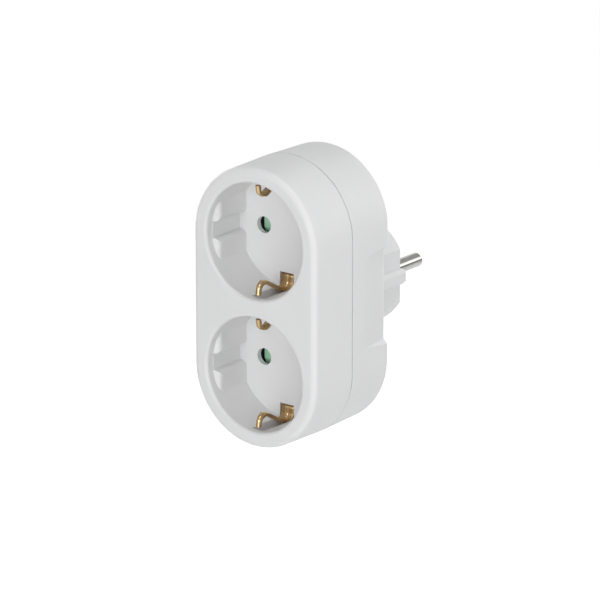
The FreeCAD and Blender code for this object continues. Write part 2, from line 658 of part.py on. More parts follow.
# Back shell: a drafted stadium tray with the plug body moulded on, side grips and two screw towers.
def makeBackShell():
    body = newBody("back_shell")
    draft = "-atan(Sizes.back_taper / Sizes.back_length)"
    seam = sketchAt(body, "back_seam_outline", "back_start")
    drawStadium(seam, "half_width", "half_run")
    block = grow(body, "back_block", seam, "back_length")
    block.setExpression("TaperAngle", draft)
    doc.recompute()
    bevelled(body, "back_seam_bevel", lambda e: inPlane(e, num("back_start")), "seam_bevel")
    inside = sketchAt(body, "back_inside_seam", "back_start")
    drawStadium(inside, "inner_radius", "half_run")
    cavity = cut(body, "back_cavity", inside, "back_hollow")
    cavity.setExpression("TaperAngle", draft)
    doc.recompute()

    for side, low, high in (("left", "-lining_out", "-lining_in"), ("right", "lining_in", "lining_out")):
        lining = sketchAt(body, f"lining_{side}_form", "lining_y")
        drawBlock(lining, low, high, "-lining_half", "lining_half")
        grow(body, f"lining_{side}", lining, "lining_length", forward=True)
    for side, outwards in (("left", "-Sizes.grip_lean"), ("right", "Sizes.grip_lean")):
        scoop = sketchAt(body, f"grip_{side}_form", "back_y")
        drawScoop(scoop, side == "left")
        before = body.Shape.Volume
        grip = cut(body, f"grip_{side}", scoop, "grip_length", forward=True)
        leanForward(grip, outwards)
        if body.Shape.Volume >= before:
            raise RuntimeError(f"grip_{side} cuts nothing")
    rounded(body, "back_edge", lambda e: inPlane(e, num("back_y")), "back_round")

    plug = sketchAt(body, "plug_outline", "0")
    drawBarrel(plug, "0", "plug_radius", "plug_flat")
    grow(body, "plug_block", plug, "plug_length", forward=True)
    for side, sign in (("left", negated), ("right", str)):
        rib = sketchAt(body, f"plug_rib_{side}_form", "0")
        drawPolygon(rib, [(sign("rib_inner"), "-rib_half"), (sign("rib_shoulder"), "-rib_half"),
                          (sign("rib_reach"), "-rib_crest"), (sign("rib_reach"), "rib_crest"),
                          (sign("rib_shoulder"), "rib_half"), (sign("rib_inner"), "rib_half")])
        grow(body, f"plug_rib_{side}", rib, "plug_length", forward=True)
    rounded(body, "plug_edge", lambda e: inPlane(e, 0), "plug_round")
    hollow = sketchAt(body, "plug_inside", "collar_y")
    drawCircle(hollow, ("0", "0"), "plug_bore")
    cut(body, "plug_cavity", hollow, "plug_hollow", forward=True)
    face_holes = sketchAt(body, "plug_face_holes", "0")
    for _, reach in EVERY_SIDE:
        drawCircle(face_holes, (reach, "0"), "shank_bore")
    drawCircle(face_holes, ("0", "earth_offset"), "earth_hole_radius")
    cut(body, "plug_face_cut", face_holes, "plug_face", forward=True)
    for name, low, high in (("top", "strap_groove_in", "strap_groove_out"),
                            ("bottom", "-strap_groove_out", "-strap_groove_in")):
        groove = sketchAt(body, f"strap_groove_{name}_form", "0")
        drawBlock(groove, "-strap_groove_half", "strap_groove_half", low, high)
        cut(body, f"strap_groove_{name}", groove, "strap_groove_length", forward=True)
    for name, low, high in (("top", "strap_slot_in", "strap_slot_out"),
                            ("bottom", "-strap_slot_out", "-strap_slot_in")):
        slot = sketchAt(body, f"strap_slot_{name}_form", "strap_slot_y")
        drawBlock(slot, "-strap_groove_half", "strap_groove_half", low, high)
        cut(body, f"strap_slot_{name}", slot, "strap_slot_length")

    towers = sketchAt(body, "tower_forms", "tower_y")
    recesses = sketchAt(body, "screw_recesses", "back_y")
    shafts = sketchAt(body, "screw_holes", "screw_seat")
    for _, rise in EVERY_SOCKET:
        drawCircle(towers, ("0", rise), "tower_radius")
        drawCircle(recesses, ("0", rise), "screw_recess")
        drawCircle(shafts, ("0", rise), "screw_bore")
    grow(body, "towers", towers, "tower_length", forward=True)
    cut(body, "screw_recess_cut", recesses, "screw_sink", forward=True)
    cut(body, "screw_hole_cut", shafts, "screw_hole_length", forward=True)

    tongue = sketchAt(body, "tongue_ring", "back_start")
    drawStadium(tongue, "tongue_radius", "half_run")
    drawStadium(tongue, "inner_radius", "half_run")
    grow(body, "tongue", tongue, "tongue_length", forward=True)
    return keep(body)


# Contact carrier: a plate behind the wells, with a ring round each shutter and a nest for each sleeve.
def makeCarrier():
    body = newBody("contact_carrier")
    plate = sketchAt(body, "carrier_outline", "carrier_y")
    drawStadium(plate, "carrier_radius", "well_rise")
    grow(body, "carrier_plate", plate, "carrier_thick")
    forms = {}
    for name, plane in (("rings", "carrier_y"), ("chambers", "floor_back"), ("rooms", "carrier_y"),
                        ("bores", "carrier_y"), ("pin_holes", "carrier_y"), ("nests", "carrier_back"),
                        ("nest_bores", "carrier_back"), ("stops", "stop_y")):
        forms[name] = sketchAt(body, "carrier_" + name, plane)
    for _, rise in EVERY_SOCKET:
        drawCircle(forms["rings"], ("0", rise), "chamber_out")
        drawCircle(forms["chambers"], ("0", rise), "chamber_radius")
        drawCircle(forms["rooms"], ("0", rise), "spring_room")
        drawCircle(forms["bores"], ("0", rise), "post_bore")
        for _, reach in EVERY_SIDE:
            drawCircle(forms["pin_holes"], (reach, rise), "carrier_bore")
            drawCircle(forms["nests"], (reach, rise), "nest_radius")
            drawCircle(forms["nest_bores"], (reach, rise), "nest_bore")
    for rise in ("stop_high", "stop_low"):
        drawCircle(forms["stops"], ("-lug_up", rise), "lug_radius")
    grow(body, "carrier_ring_grow", forms["rings"], "chamber_length", forward=True)
    cut(body, "carrier_chamber_cut", forms["chambers"], "chamber_length")
    notch = sketchAt(body, "carrier_notch", "floor_back")
    drawBlock(notch, "-slot_half", "slot_half", "-notch_end", "notch_end")
    cut(body, "carrier_notch_cut", notch, "notch_depth")
    cut(body, "carrier_room_cut", forms["rooms"], "spring_recess")
    cut(body, "carrier_bore_cut", forms["bores"], "carrier_thick")
    cut(body, "carrier_hole_cut", forms["pin_holes"], "carrier_thick")
    grow(body, "carrier_stop_grow", forms["stops"], "stop_length", forward=True)
    grow(body, "carrier_nest_grow", forms["nests"], "nest_length")
    cut(body, "carrier_nest_cut", forms["nest_bores"], "nest_length")
    slot = sketchAt(body, "carrier_link_slot", "carrier_y")
    drawBlock(slot, "-link_slot_half", "link_slot_half", "-link_slot_rise", "link_slot_rise")
    cut(body, "carrier_link_cut", slot, "carrier_thick")
    return keep(body)


def placeBody(body, reach, rise):
    for axis, term in (("x", reach), ("z", rise)):
        if term != "0":
            body.setExpression("Placement.Base." + axis, bound(term))


# Shutter: a hub with two wings, one before each pin hole, each with a ramp that a pin pushes aside.
def makeShutter(label, rise):
    body = newBody(label)
    hub = sketchAt(body, label + "_hub_form", "shutter_y")
    drawCircle(hub, ("0", "0"), "hub_radius")
    grow(body, label + "_hub", hub, "shutter_thick")
    wings = sketchAt(body, label + "_wing_form", "shutter_y")
    drawBlock(wings, "-wing_reach", "wing_reach", "-wing_half", "wing_half")
    grow(body, label + "_wings", wings, "shutter_thick")

    def onRamp(edge):
        if not inPlane(edge, num("shutter_y")) or edge.Length < num("wing_half"):
            return False
        middle = edge.CenterOfMass
        return near(abs(middle.z), num("wing_half")) and middle.x * middle.z > 0

    ramps = bevelled(body, label + "_ramps", onRamp, "wing_ramp")
    ramps.ChamferType = "Two distances"
    ramps.setExpression("Size2", "Sizes.wing_ramp_width")
    doc.recompute()
    bore = sketchAt(body, label + "_bore_form", "shutter_y")
    drawCircle(bore, ("0", "0"), "shutter_bore")
    cut(body, label + "_bore", bore, "shutter_thick")
    lug = sketchAt(body, label + "_lug_form", "shutter_back")
    drawCircle(lug, ("lug_across", "lug_up"), "lug_radius")
    grow(body, label + "_lug", lug, "lug_length")
    placeBody(body, "0", rise)
    return keep(body)


# Torsion spring round the post: one straight leg on the shutter's lug, one on the carrier's stop.
def makeSpring(label, rise):
    radius = num("spring_radius")
    pitch = num("spring_pitch")
    turns = num("spring_turns")
    leg = num("spring_leg")
    start = num("shutter_back") + num("spring_lead")
    climb = V(0, pitch / (2 * math.pi * radius), 0)

    def onCoil(turn):
        angle = -2 * math.pi * turn
        return V(radius * math.cos(angle), start + pitch * turn, radius * math.sin(angle))

    helix = Part.makeHelix(pitch, pitch * turns, radius, 0, False)
    helix.rotate(V(0, 0, 0), V(1, 0, 0), -90)
    helix.translate(V(0, start, 0))
    ahead = (V(0, 0, 1) - climb).normalize()
    last = onCoil(turns)
    angle = -2 * math.pi * turns
    onward = (V(math.sin(angle), 0, -math.cos(angle)) + climb).normalize()
    first = onCoil(0)
    path = Part.Wire([Part.LineSegment(first + ahead * leg, first).toShape()] + helix.Edges
                     + [Part.LineSegment(last, last + onward * leg).toShape()])
    section = Part.Wire([Part.Circle(first + ahead * leg, ahead, num("spring_wire")).toShape()])
    feature = doc.addObject("Part::Feature", label)
    feature.Label = label
    feature.Shape = path.makePipeShell([section], True, True)
    feature.Placement = FreeCAD.Placement(V(0, 0, num(rise)), FreeCAD.Rotation())
    return keep(feature)


# A line through (depth, rise) corners, with an arc of the stated radius at each.
def bentLine(corners, radii):
    spots = [V(0, depth, rise) for depth, rise in corners]
    edges = []
    at = spots[0]
    for before, corner, after, radius in zip(spots, spots[1:], spots[2:], radii):
        into = (corner - before).normalize()
        out = (after - corner).normalize()
        turn = into.getAngle(out)
        setback = radius * math.tan(turn / 2)
        enter = corner - into * setback
        leave = corner + out * setback
        inward = (out - into).normalize()
        middle = corner + inward * (radius / math.cos(turn / 2) - radius)
        edges.append(Part.LineSegment(at, enter).toShape())
        edges.append(Part.Arc(enter, middle, leave).toShape())
        at = leave
    edges.append(Part.LineSegment(at, spots[-1]).toShape())
    return Part.Wire(edges)


# A strip of constant thickness, bent along such a line.
def bentStrip(corners, radii, thickness, width):
    side = bentLine(corners, radii).makeOffset2D(thickness / 2, 0, False, True)
    strip = side.makeOffset2D(-thickness, 0, True, True)
    strip.translate(V(-width / 2, 0, 0))
    return strip.extrude(V(width, 0, 0))


def keepShape(label, shape, place=V(0, 0, 0)):
    feature = doc.addObject("Part::Feature", label)
    feature.Label = label
    feature.Shape = shape
    feature.Placement = FreeCAD.Placement(place, FreeCAD.Rotation())
    return keep(feature)


def rod(radius, start, length, reach=0, rise=0):
    return Part.makeCylinder(radius, length, V(reach, start, rise), V(0, 1, 0))


# Earth bridge: one strip behind a well floor, whose two ends pass through it as sprung earth clips.
def makeEarthBridge(label, rise):
    front = num("front_y")
    strip = num("clip_strip")
    foot = num("clip_foot_depth")
    bend = num("clip_bend")
    hump = (num("clip_hump_depth"), num("clip_in"))
    # The outer bend's corner lies beyond the bend, by what the turn from foot to hump needs.
    lean = math.atan2(num("clip_out") - hump[1], foot - bend - hump[0])
    corner = num("clip_out") - bend + bend * math.tan((math.pi / 2 + lean) / 2)
    behind = num("well_depth") + num("floor_wall") + strip / 2
    nose = [(num("clip_tip_depth"), num("clip_tip")), (num("clip_knee_depth"), num("clip_knee")),
            hump, (foot, corner)]
    half = nose + [(foot, num("clip_top")), (behind, num("clip_top"))]
    corners = half + [(depth, -offset) for depth, offset in reversed(half)]
    bends = [num("clip_knee_bend"), num("clip_hump_bend"), bend, num("clip_foot_bend"), num("clip_foot_bend")]
    path = [(front + depth, offset) for depth, offset in corners]
    shape = bentStrip(path, bends + bends[::-1], strip, num("clip_width"))
    shape = shape.common(clipPlan(front, behind + strip))
    ridge = [(front + depth, offset) for depth, offset in nose + [(foot, num("clip_bead_end"))]]
    for side in (1, -1):
        shape = shape.fuse(clipBead([(depth, side * offset) for depth, offset in ridge], bends[:3]))
    back = num("floor_back")
    shape = shape.fuse(rod(num("eye_radius"), back, strip))
    shape = shape.cut(rod(num("post_radius") + num("eye_play"), back - strip, 3 * strip))
    offset = num("rivet_rise") - num("well_rise")
    if rise.startswith("-"):
        offset = -offset
    shape = shape.cut(rod(num("rivet_bore"), back - strip, 3 * strip, 0, offset))
    return keepShape(label, shape.removeSplitter(), V(0, 0, num(rise)))


# Seen along the rise, a clip narrows from its foot to its nose, and a little more to its front end.
def clipPlan(front, length):
    end = num("clip_end_width") / 2
    nose = num("clip_nose") / 2
    full = num("clip_width") / 2
    neck = num("clip_neck_depth")
    steps = [(0, end), (num("clip_tip_depth"), end), (num("clip_hump_depth"), nose), (neck, nose),
             (neck + num("clip_shoulder"), full), (length, full)]
    tall = num("channel_reach")
    spots = [V(half, front + depth, -tall) for depth, half in steps]
    spots += [V(-half, front + depth, -tall) for depth, half in reversed(steps)]
    outline = Part.makePolygon(spots + spots[:1])
    return Part.Face(outline).extrude(V(0, 0, 2 * tall))


# A round bead along the middle of a clip, proud of the strip on both sides.
def clipBead(corners, radii):
    line = bentLine(corners, radii)
    start = line.OrderedVertexes[0].Point
    ahead = line.OrderedEdges[0].tangentAt(line.OrderedEdges[0].FirstParameter)
    section = Part.Wire([Part.Circle(start, ahead, num("clip_bead")).toShape()])
    return line.makePipeShell([section], True, True)


# Earth bar: joins the two bridges behind the floors.
def makeEarthBar():
    body = newBody("earth_bar")
    form = sketchAt(body, "earth_bar_form", "earth_bar_y")
    drawBlock(form, "-clip_half", "clip_half", "-earth_bar_half", "earth_bar_half")
    grow(body, "earth_bar_grow", form, "clip_strip")
    holes = sketchAt(body, "earth_bar_holes", "earth_bar_y")
    for rise in ("rivet_rise", "-rivet_rise", "-link_rivet_rise"):
        drawCircle(holes, ("0", rise), "rivet_bore")
    cut(body, "earth_bar_cut", holes, "clip_strip")
    return keep(body)


# Earth link: carries earth from the bar, through the carrier, to the plug's strap.
def makeEarthLink():
    strip = num("clip_strip")
    front = num("earth_bar_y") + 1.5 * strip
    back = num("strap_front") - strip / 2
    foot = num("link_foot")
    path = [(front, -foot), (front, 0), (back, 0), (back, -foot)]
    shape = bentStrip(path, [num("link_bend")] * 2, strip, 2 * num("link_half"))
    for depth in (front, back):
        hole = rod(num("rivet_bore"), depth - strip, 2 * strip, 0, -num("link_rivet_rise"))
        shape = shape.cut(hole)
    return keepShape("earth_link", shape)


# Earth strap of the plug: a cross piece inside, with a contact down each groove of the plug body.
def makePlugStrap():
    strip = num("clip_strip")
    cross = num("strap_front") + strip / 2
    tip = -num("strap_tip")
    rise = num("strap_rise")
    path = [(tip, rise), (cross, rise), (cross, -rise), (tip, -rise)]
    shape = bentStrip(path, [num("link_bend")] * 2, strip, 2 * num("strap_half"))
    hole = rod(num("rivet_bore"), cross - strip, 2 * strip, 0, -num("link_rivet_rise"))
    return keepShape("plug_earth_strap", shape.cut(hole))


# Contact sleeve: a rolled strip, open along a slit, that grips a pin.
def makeSleeve(label, plane, length, reach, rise):
    body = newBody(label)
    form = sketchAt(body, label + "_form", plane)
    drawCircle(form, ("0", "0"), "sleeve_radius")
    drawCircle(form, ("0", "0"), "sleeve_bore")
    grow(body, label + "_wall", form, length)
    slit = sketchAt(body, label + "_slit_form", plane)
    drawBlock(slit, "-sleeve_slit_half", "sleeve_slit_half", "0", "sleeve_slit_end")
    cut(body, label + "_slit", slit, length)
    placeBody(body, reach, rise)
    return keep(body)


# Live or neutral bar: joins the two sleeves of a side to its plug pin.
def makeBar(label, reach):
    body = newBody(label)
    form = sketchAt(body, label + "_form", "bar_y")
    drawBlock(form, "-bar_half", "bar_half", "-bar_end", "bar_end")
    grow(body, label + "_strip", form, "bar_thick")
    hole = sketchAt(body, label + "_hole_form", "bar_y")
    drawCircle(hole, ("0", "0"), "bar_bore")
    cut(body, label + "_hole", hole, "bar_thick")
    placeBody(body, reach, "0")
    return keep(body)


# Plug pin: the pin, its shank in the plug's face, a collar, and a rod riveted over its bar.
def makePin(label, reach):
    body = newBody(label)
    for step, plane, radius, length, forward in (
            ("outside", "0", "pin_radius", "pin_length", False),
            ("shank", "0", "shank_radius", "plug_face", True),
            ("collar", "collar_y", "collar_radius", "collar_thick", True),
            ("rod", "collar_y", "rod_radius", "rod_length", True),
            ("tail", "bar_back", "tail_radius", "tail_length", True),
            ("head", "bar_y", "head_radius", "head_thick", True)):
        form = sketchAt(body, f"{label}_{step}_form", plane)
        drawCircle(form, ("0", "0"), radius)
        grow(body, f"{label}_{step}", form, length, forward)
        if step == "outside":
            rounded(body, label + "_tip", lambda e: inPlane(e, num("pin_length")), "pin_tip_round")
    placeBody(body, reach, "0")
    return keep(body)


# Fasteners along Y, several alike in one node: steps of (radius, start, length) about each axis.
def primitive(name, radius, start, length, rise):
    obj = doc.addObject("Part::Cylinder", name)
    obj.setExpression("Radius", "Sizes." + radius)
    obj.setExpression("Height", "Sizes." + length)
    obj.Placement = FreeCAD.Placement(V(0, 0, 0), FreeCAD.Rotation(V(1, 0, 0), -90))
    obj.setExpression("Placement.Base.y", bound(start))
    if rise != "0":
        obj.setExpression("Placement.Base.z", bound(rise))
    return obj


def makeGroup(label, fasteners):
    group = doc.addObject("Part::Compound", label)
    group.Label = label
    group.Links = fasteners
    doc.recompute()
    return keep(group)


def crossRecess(name, rise):
    arms = []
    bars = (("upright", "drive_width", "drive_span"), ("level", "drive_span", "drive_width"))
    for arm, width, height in bars:
        box = doc.addObject("Part::Box", f"{name}_{arm}")
        box.setExpression("Length", "Sizes." + width)
        box.setExpression("Width", "Sizes.drive_depth")
        box.setExpression("Height", "Sizes." + height)
        box.setExpression("Placement.Base.x", f"-Sizes.{width} / 2")
        box.setExpression("Placement.Base.y", "Sizes.drive_y")
        box.setExpression("Placement.Base.z", f"{bound(rise)} - Sizes.{height} / 2")
        arms.append(box)
    cross = doc.addObject("Part::MultiFuse", name)
    cross.Shapes = arms
    return cross


def makeScrews():
    screws = []
    for name, rise in EVERY_SOCKET:
        shaft = primitive(f"screw_{name}_shaft", "screw_radius", "screw_tip", "screw_shaft_length", rise)
        head = primitive(f"screw_{name}_head", "screw_head_radius", "screw_seat", "screw_head_thick", rise)
        whole = doc.addObject("Part::Fuse", f"screw_{name}_whole")
        whole.Base = shaft
        whole.Tool = head
        drive = crossRecess(f"screw_{name}_drive", rise)
        screw = doc.addObject("Part::Cut", f"screw_{name}")
        screw.Base = whole
        screw.Tool = drive
        screws.append(screw)
    return makeGroup("casing_screws", screws)


def makeRivets():
    rivets = []
    for name, rise, head, start, tail in (
            ("upper", "rivet_rise", "bridge_rivet_front", "floor_back", "bridge_rivet_back"),
            ("lower", "-rivet_rise", "bridge_rivet_front", "floor_back", "bridge_rivet_back"),
            ("bar", "-link_rivet_rise", "bar_rivet_front", "earth_bar_y", "bar_rivet_back"),
            ("strap", "-link_rivet_rise", "strap_rivet_front", "link_back", "strap_rivet_back")):
        steps = [primitive(f"rivet_{name}_body", "rivet_radius", start, "rivet_grip", rise),
                 primitive(f"rivet_{name}_front", "rivet_head", head, "rivet_head_thick", rise),
                 primitive(f"rivet_{name}_back", "rivet_head", tail, "rivet_head_thick", rise)]
        rivet = doc.addObject("Part::MultiFuse", f"rivet_{name}")
        rivet.Shapes = steps
        rivets.append(rivet)
    return makeGroup("earth_rivets", rivets)


makeFrontShell()
makeBackShell()
makeCarrier()
for socket, rise in EVERY_SOCKET:
    makeShutter("shutter_" + socket, rise)
    makeSpring("shutter_spring_" + socket, rise)
    makeEarthBridge("earth_bridge_" + socket, rise)
    for side, reach in EVERY_SIDE:
        makeSleeve(f"contact_{socket}_{side}", "sleeve_y", "sleeve_length", reach, rise)
makeEarthBar()
makeEarthLink()
makePlugStrap()
makeSleeve("plug_earth_sleeve", "earth_sleeve_y", "earth_sleeve_length", "0", "earth_offset")
for side, reach in EVERY_SIDE:
    makeBar("supply_bar_" + side, reach)
    makePin("plug_pin_" + side, reach)
makeScrews()
makeRivets()

doc.recompute()
for obj in doc.Objects:
    if "Invalid" in obj.State or "Error" in obj.State:
        raise RuntimeError(obj.Label + " failed: " + ", ".join(obj.State))
for label, obj in parts.items():
    if obj.Shape.isNull() or not obj.Shape.isValid() or not obj.Shape.Solids:
        raise RuntimeError(label + " has no valid solid")
os.makedirs("parts", exist_ok=True)
for label, obj in parts.items():
    obj.Shape.exportStep(f"parts/{label}.step")
    print(label, len(obj.Shape.Solids), round(obj.Shape.Volume, 1))
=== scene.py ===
import math

import bpy
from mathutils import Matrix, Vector

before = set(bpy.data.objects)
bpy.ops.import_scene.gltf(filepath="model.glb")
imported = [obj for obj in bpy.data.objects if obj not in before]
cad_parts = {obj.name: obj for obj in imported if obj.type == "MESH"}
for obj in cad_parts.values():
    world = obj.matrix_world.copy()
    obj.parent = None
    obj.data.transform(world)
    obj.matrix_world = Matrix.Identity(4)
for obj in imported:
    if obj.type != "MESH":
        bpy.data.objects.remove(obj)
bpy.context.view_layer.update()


# Which way a place lies from the adapter: degrees round from straight in front, and degrees up
def direction(azimuth, elevation):
    turn = math.radians(azimuth)
    lift = math.radians(elevation)
    level = math.cos(lift)
    return Vector((math.sin(turn) * level, -math.cos(turn) * level, math.sin(lift)))


# Camera: where the photograph was taken from, in metres and degrees
cameraPlace = {
    "azimuth": 37.67,  # towards the right side
    "elevation": 17.51,
    "distance": 1.7,
    "aimDepth": -0.04,  # how far in front of the origin the camera and the lamps aim
    "aimAcross": 0.00312,  # the camera's own shift from there, in its picture
    "aimUp": -0.0018,
    "focalWidths": 8.522,  # focal length in widths of the picture
    "sensorWidth": 36.0,
    "farEnd": 50.0,
}


def makeCamera():
    place = cameraPlace
    back = direction(place["azimuth"], place["elevation"])
    right = direction(place["azimuth"] + 90.0, 0.0)
    up = back.cross(right)
    aim = Vector((0, place["aimDepth"], 0)) + right * place["aimAcross"] + up * place["aimUp"]
    bpy.ops.object.camera_add(location=aim + back * place["distance"])
    camera = bpy.context.object
    camera.name = "photoCamera"
    camera.rotation_mode = "QUATERNION"
    camera.rotation_quaternion = (-back).to_track_quat("-Z", "Y")
    camera.data.sensor_width = place["sensorWidth"]
    camera.data.lens = place["focalWidths"] * place["sensorWidth"]
    camera.data.clip_end = place["farEnd"]
    bpy.context.scene.camera = camera
    print("camera ready")


# Shader sums are written as plain expressions on wires
class Wire:
    def __init__(self, board, socket):
        self.board = board
        self.socket = socket

    def maths(self, operation, *values):
        return self.board.node("ShaderNodeMath", {"operation": operation}, dict(enumerate(values)))

    def __add__(self, other):
        return self.maths("ADD", self, other)

    def __radd__(self, other):
        return self.maths("ADD", other, self)

    def __sub__(self, other):
        return self.maths("SUBTRACT", self, other)

    def __rsub__(self, other):
        return self.maths("SUBTRACT", other, self)

    def __mul__(self, other):
        return self.maths("MULTIPLY", self, other)

    def __rmul__(self, other):
        return self.maths("MULTIPLY", other, self)


class Board:
    def __init__(self, tree):
        self.tree = tree
        tree.nodes.clear()

    # One node: its type, its settings, which come first, and what its sockets get
    def node(self, kind, settings, values, output=0):
        made = self.tree.nodes.new(kind)
        for name, value in settings.items():
            if name == "stops":
                self.setStops(made.color_ramp, value)
            else:
                setattr(made, name, value)
        for name, value in values.items():
            if isinstance(value, Wire):
                self.tree.links.new(value.socket, made.inputs[name])
            else:
                made.inputs[name].default_value = value
        if not made.outputs:
            return made
        return Wire(self, made.outputs[output])

    def setStops(self, ramp, stops):
        while len(ramp.elements) < len(stops):
            ramp.elements.new(1.0)
        for element, (place, colour) in zip(ramp.elements, stops):
            element.position = place
            element.color = (*colour, 1.0)

    def place(self):
        return self.node("ShaderNodeTexCoord", {}, {}, "Object")

    # How far across the part a point lies, in metres
    def across(self):
        return self.node("ShaderNodeSeparateXYZ", {}, {"Vector": self.place()}, "X")

    def stretched(self, scale):
        return self.node("ShaderNodeMapping", {}, {"Vector": self.place(), "Scale": scale})

    def noise(self, scale, detail=2.0, vector=None):
        return self.node("ShaderNodeTexNoise", {}, {
            "Vector": vector or self.place(), "Scale": scale, "Detail": detail})

    def ramp(self, wire, stops):
        return self.node("ShaderNodeValToRGB", {"stops": stops}, {"Fac": wire})

    # Deep colour where the noise is low, pale where it is high
    def clouded(self, cloud, look):
        stops = [(look["deepFrom"], look["deep"]), (look["paleFrom"], look["pale"])]
        return self.ramp(cloud, stops)

    def span(self, wire, low, high, start=0.0, end=1.0):
        return self.node("ShaderNodeMapRange", {}, {
            "Value": wire, "From Min": start, "From Max": end, "To Min": low, "To Max": high})

    # A colour mix has its share in socket 0, its two colours in 6 and 7, its result in output 2
    def mixed(self, share, first, second):
        return self.node("ShaderNodeMix", {"data_type": "RGBA"}, {0: share, 6: first, 7: second}, 2)

    def bump(self, wire, strength, depth):
        return self.node("ShaderNodeBump", {}, {
            "Height": wire, "Strength": strength, "Distance": depth})


def newMaterial(name):
    material = bpy.data.materials.new(name)
    material.use_nodes = True
    return material, Board(material.node_tree)


def surface(board, values):
    shader = board.node("ShaderNodeBsdfPrincipled", {}, values)
    board.node("ShaderNodeOutputMaterial", {}, {"Surface": shader})


def dressNodes(material, names):
    for name in names:
        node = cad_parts[name]
        node.data.materials.clear()
        node.data.materials.append(material)


# White casing: satin moulded plastic with the fine grain of a spark-worked mould
whitePlastic = {
    "pale": (0.8, 0.803, 0.81),
    "deep": (0.78, 0.783, 0.79),
    "deepFrom": 0.3,
    "paleFrom": 0.7,
    "cloudScale": 35.0,
    "cloudDetail": 3.0,
    "grainScale": 2600.0,
    "grainDepth": 0.000012,
    "grainStrength": 0.35,
    "roughLow": 0.42,
    "roughHigh": 0.52,
    "ior": 1.5,
}


def finishCasing():
    look = whitePlastic
    material, board = newMaterial("whitePlastic")
    cloud = board.noise(look["cloudScale"], look["cloudDetail"])
    grain = board.noise(look["grainScale"])
    surface(board, {
        "Base Color": board.clouded(cloud, look),
        "Roughness": board.span(grain, look["roughLow"], look["roughHigh"]),
        "Normal": board.bump(grain, look["grainStrength"], look["grainDepth"]),
        "IOR": look["ior"],
    })
    dressNodes(material, ["front_shell", "back_shell"])
    print("casing finished")


# Contact carrier: painted shade, a black plastic that stands in for the shade in the pin holes
carrierPaintedShade = {
    # the black is painted shade for the dark gap behind the pin holes
    "pale": (0.03, 0.03, 0.032),
    "deep": (0.018, 0.018, 0.019),
    "deepFrom": 0.3,
    "paleFrom": 0.7,
    "cloudScale": 60.0,
    "grainScale": 1800.0,
    "grainDepth": 0.00002,
    "grainStrength": 0.4,
    "roughLow": 0.45,
    "roughHigh": 0.6,
}


def finishCarrier():
    look = carrierPaintedShade
    material, board = newMaterial("carrierPaintedShade")
    cloud = board.noise(look["cloudScale"])
    grain = board.noise(look["grainScale"])
    surface(board, {
        "Base Color": board.clouded(cloud, look),
        "Roughness": board.span(grain, look["roughLow"], look["roughHigh"]),
        "Normal": board.bump(grain, look["grainStrength"], look["grainDepth"]),
    })
    dressNodes(material, ["contact_carrier"])
    print("carrier finished")


# Shutters: green plastic that shows behind the pin holes
greenPlastic = {
    "pale": (0.4, 0.71, 0.49),
    "deep": (0.33, 0.61, 0.41),
    "deepFrom": 0.3,
    "paleFrom": 0.7,
    "cloudScale": 220.0,
    "roughLow": 0.3,
    "roughHigh": 0.42,
}


def finishShutters():
    look = greenPlastic
    material, board = newMaterial("greenPlastic")
    cloud = board.noise(look["cloudScale"])
    surface(board, {
        "Base Color": board.clouded(cloud, look),
        "Roughness": board.span(cloud, look["roughLow"], look["roughHigh"]),
    })
    dressNodes(material, ["shutter_upper", "shutter_lower"])
    print("shutters finished")


# Earth strips: tarnished brass, bowed across its width, with a painted highlight along the bead
# that leaves the edges darker
earthBrass = {
    # colour of the painted highlight along the bead
    "paintedHighlight": (0.78, 0.565, 0.305, 1.0),
    "warm": (0.54, 0.365, 0.175, 1.0),
    "tarnish": (0.38, 0.245, 0.115, 1.0),
    "bowRadius": 0.009,
    "beadHalf": 0.00045,
    "beadFade": 0.0009,
    "beadDull": 0.4,  # how strong the painted highlight on the bead stays where the strip is tarnished
    "streakScale": (1500.0, 45.0, 45.0),
    "streakDetail": 3.0,
    "lineScale": (9000.0, 300.0, 300.0),
    "lineShare": 0.000006,
    "streakLow": 0.42,
    "streakHigh": 0.58,
    "highlightBandRough": 0.16,
    "dullRough": 0.4,
}


def finishEarthStrips():
    look = earthBrass
    material, board = newMaterial("earthBrass")
    x = board.across()
    off = x.maths("ABSOLUTE", x)
    # painted highlight: a band of bright colour along the middle of the strip, over the bead
    paintedHighlightBand = board.span(off, 1.0, 0.0, look["beadHalf"], look["beadFade"])
    streaks = board.noise(1.0, look["streakDetail"], board.stretched(look["streakScale"]))
    lines = board.noise(1.0, vector=board.stretched(look["lineScale"]))
    clean = board.span(streaks, 0.0, 1.0, look["streakLow"], look["streakHigh"])
    dull = board.mixed(clean, look["tarnish"], look["warm"])
    bow = lines * look["lineShare"] - x * x * (0.5 / look["bowRadius"])
    bead = paintedHighlightBand * board.span(clean, look["beadDull"], 1.0)
    surface(board, {
        "Base Color": board.mixed(bead, dull, look["paintedHighlight"]),
        "Metallic": 1.0,
        "Roughness": board.span(paintedHighlightBand, look["dullRough"], look["highlightBandRough"]),
        "Normal": board.bump(bow, 1.0, 1.0),
    })
    dressNodes(material, ["earth_bridge_upper", "earth_bridge_lower", "earth_bar", "earth_link",
                          "plug_earth_strap"])
    print("earth strips finished")


